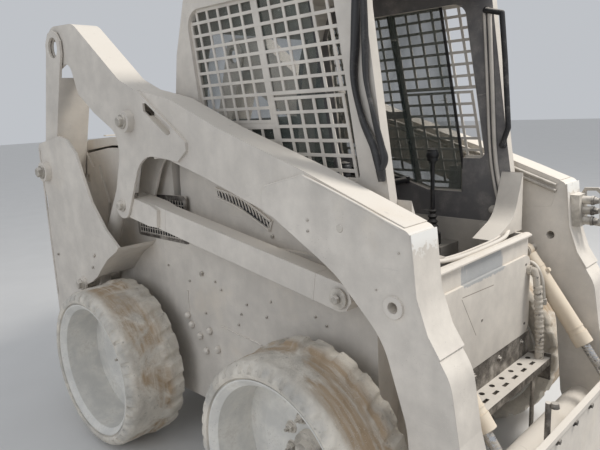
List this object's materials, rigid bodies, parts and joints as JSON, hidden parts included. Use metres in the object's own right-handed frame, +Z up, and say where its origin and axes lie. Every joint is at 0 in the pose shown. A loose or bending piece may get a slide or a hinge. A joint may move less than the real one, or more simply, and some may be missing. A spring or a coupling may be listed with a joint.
{
  "type": "skid steer loader",
  "caption": "Compact loader with an open caged cab between vertical lift arms, a tool carrier at the front and an engine at the rear.",
  "frame": {"origin": "on the ground, in the middle of the wheelbase and of the overall length", "axes": "+X to the front, +Y to the machine's left, +Z up"},
  "size_m": [2.66, 1.644, 2.076],
  "materials": {
    "dusty_paint": "white paint under a coat of pale cement dust",
    "rim_paint": "white paint, dusty",
    "tyre": "worn rubber caked with tan dust",
    "bare_steel": "worn steel, dusty",
    "cylinder_paint": "dusty paint",
    "rod_chrome": "chromed rod",
    "black_paint": "black paint, dusty",
    "seat_vinyl": "black vinyl, dusty",
    "black_plastic": "moulded black plastic",
    "hose_rubber": "black rubber hose, dusty",
    "lamp_plastic": "red lamp lens, dusty"
  },
  "bodies": {
    "frame": {"axle_tubes": "bare_steel", "cab_back": "dusty_paint", "cab_floor": "dusty_paint", "cab_roof": "dusty_paint", "cab_side_left": "dusty_paint", "cab_side_right": "dusty_paint", "chassis": "dusty_paint", "control_levers": "black_plastic", "door_corners": "dusty_paint", "door_hinges": "dusty_paint", "engine_block": "bare_steel", "engine_sides": "dusty_paint", "frame_pins": "bare_steel", "front_hose": "hose_rubber", "front_panel": "dusty_paint", "front_sill": "dusty_paint", "front_step": "bare_steel", "grab_bar": "black_paint", "rear_bumper": "dusty_paint", "seat_back": "seat_vinyl", "seat_base": "bare_steel", "seat_cushion": "seat_vinyl", "side_grilles": "bare_steel", "side_screen_left": "dusty_paint", "side_screen_right": "dusty_paint", "side_vents": "dusty_paint", "tail_lamps": "lamp_plastic", "upright_left": "dusty_paint", "upright_right": "dusty_paint"},
    "control_links": {"control_links": "dusty_paint"},
    "lift_arm": {"lift_arm_right": "dusty_paint", "lift_arm_left": "dusty_paint", "arm_leg_right": "dusty_paint", "arm_leg_left": "dusty_paint", "cross_tube": "dusty_paint", "arm_pins": "bare_steel", "coupler_block": "bare_steel", "arm_lines": "bare_steel"},
    "rear_links": {"rear_links": "dusty_paint"},
    "lift_barrels": {"lift_barrels": "cylinder_paint"},
    "lift_rods": {"lift_rods": "rod_chrome"},
    "carrier": {"carrier_plate": "dusty_paint", "carrier_levers": "bare_steel"},
    "tilt_barrels": {"tilt_barrels": "cylinder_paint"},
    "tilt_rods": {"tilt_rods": "rod_chrome"},
    "wheel_front_right": {"rim_front_right": "rim_paint", "tyre_front_right": "tyre"},
    "wheel_front_left": {"rim_front_left": "rim_paint", "tyre_front_left": "tyre"},
    "wheel_rear_right": {"rim_rear_right": "rim_paint", "tyre_rear_right": "tyre"},
    "wheel_rear_left": {"rim_rear_left": "rim_paint", "tyre_rear_left": "tyre"},
    "rear_door": {"rear_door": "dusty_paint"},
    "top_cover": {"top_cover": "dusty_paint"},
    "seat_bar": {"seat_bar": "black_paint"}
  },
  "joints": [
    {"name": "lift", "type": "hinge", "parent": "frame", "child": "control_links", "pos_m": [0.757, 0, 0.955], "axis": [0, 1, 0], "range_deg": [0, 42.2]},
    {"name": "arm_hinge", "type": "hinge", "parent": "control_links", "child": "lift_arm", "pos_m": [-0.495, 0, 1.151], "axis": [0, -1, 0], "range_deg": [0, 104.5]},
    {"name": "rear_link_hinge", "type": "hinge", "parent": "frame", "child": "rear_links", "pos_m": [-1.17, 0, 1.28], "axis": [0, -1, 0], "range_deg": [-6.4, 0]},
    {"name": "lift_cylinder_hinge", "type": "hinge", "parent": "frame", "child": "lift_barrels", "pos_m": [-0.9, 0, 0.72], "axis": [0, -1, 0], "range_deg": [0, 12.3]},
    {"name": "lift_rod_slide", "type": "slide", "parent": "lift_barrels", "child": "lift_rods", "axis": [0.5545, 0, 0.8322], "range_m": [0, 0.66]},
    {"name": "tilt", "type": "hinge", "parent": "lift_arm", "child": "carrier", "pos_m": [1.24, 0, 0.245], "axis": [0, 1, 0], "range_deg": [-20, 45]},
    {"name": "tilt_cylinder_hinge", "type": "hinge", "parent": "lift_arm", "child": "tilt_barrels", "pos_m": [0.913, 0, 0.917], "axis": [0, -1, 0], "range_deg": [-2.6, 5.7]},
    {"name": "tilt_rod_slide", "type": "slide", "parent": "tilt_barrels", "child": "tilt_rods", "axis": [0.5834, 0, -0.8122], "range_m": [-0.0534, 0.12]},
    {"name": "wheel_front_right_spin", "type": "hinge", "parent": "frame", "child": "wheel_front_right", "pos_m": [0.61, -0.66, 0.387], "axis": [0, 1, 0], "continuous": true},
    {"name": "wheel_front_left_spin", "type": "hinge", "parent": "frame", "child": "wheel_front_left", "pos_m": [0.61, 0.66, 0.387], "axis": [0, 1, 0], "continuous": true},
    {"name": "wheel_rear_right_spin", "type": "hinge", "parent": "frame", "child": "wheel_rear_right", "pos_m": [-0.61, -0.66, 0.387], "axis": [0, 1, 0], "continuous": true},
    {"name": "wheel_rear_left_spin", "type": "hinge", "parent": "frame", "child": "wheel_rear_left", "pos_m": [-0.61, 0.66, 0.387], "axis": [0, 1, 0], "continuous": true},
    {"name": "rear_door_hinge", "type": "hinge", "parent": "frame", "child": "rear_door", "pos_m": [-1.289, 0.447, 0.7], "axis": [0, 0, -1], "range_deg": [0, 100]},
    {"name": "top_cover_hinge", "type": "hinge", "parent": "frame", "child": "top_cover", "pos_m": [-0.356, 0, 1.418], "axis": [0, 1, 0], "range_deg": [0, 55]},
    {"name": "seat_bar_hinge", "type": "hinge", "parent": "frame", "child": "seat_bar", "pos_m": [-0.19, 0, 1.25], "axis": [0, -1, 0], "range_deg": [0, 80]}
  ],
  "couplings": [
    {"joint": "arm_hinge", "follows": "lift", "ratio": 2.4754},
    {"joint": "rear_link_hinge", "follows": "lift", "ratio": -0.15137},
    {"joint": "lift_cylinder_hinge", "follows": "lift", "ratio": 0.29014},
    {"joint": "lift_rod_slide", "follows": "lift", "m_per_rad": 0.89146},
    {"joint": "tilt_cylinder_hinge", "follows": "tilt", "ratio": 0.1249},
    {"joint": "tilt_rod_slide", "follows": "tilt", "m_per_rad": 0.15254}
  ]
}
